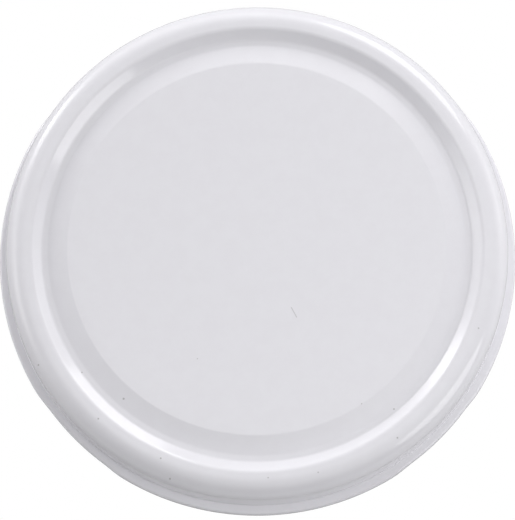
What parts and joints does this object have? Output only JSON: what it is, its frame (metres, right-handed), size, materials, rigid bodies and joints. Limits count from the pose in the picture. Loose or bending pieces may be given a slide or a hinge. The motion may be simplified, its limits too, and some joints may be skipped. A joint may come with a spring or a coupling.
{
  "type": "jar lid",
  "caption": "Round white lacquered metal twist-off lid for a glass jar, with a raised bead, a rolled hem with lugs and a sealing ring inside.",
  "frame": {"origin": "on the lid's axis, in the plane that its rolled hem rests on", "axes": "+Z along the lid's axis, from the open side to the top panel; X and Y halfway between lugs"},
  "size_m": [0.07, 0.07, 0.01],
  "materials": {
    "white_lacquer": "gloss",
    "sealing_compound": "satin"
  },
  "bodies": {
    "root": {"lid_shell": "white_lacquer", "sealing_gasket": "sealing_compound"}
  },
  "joints": []
}
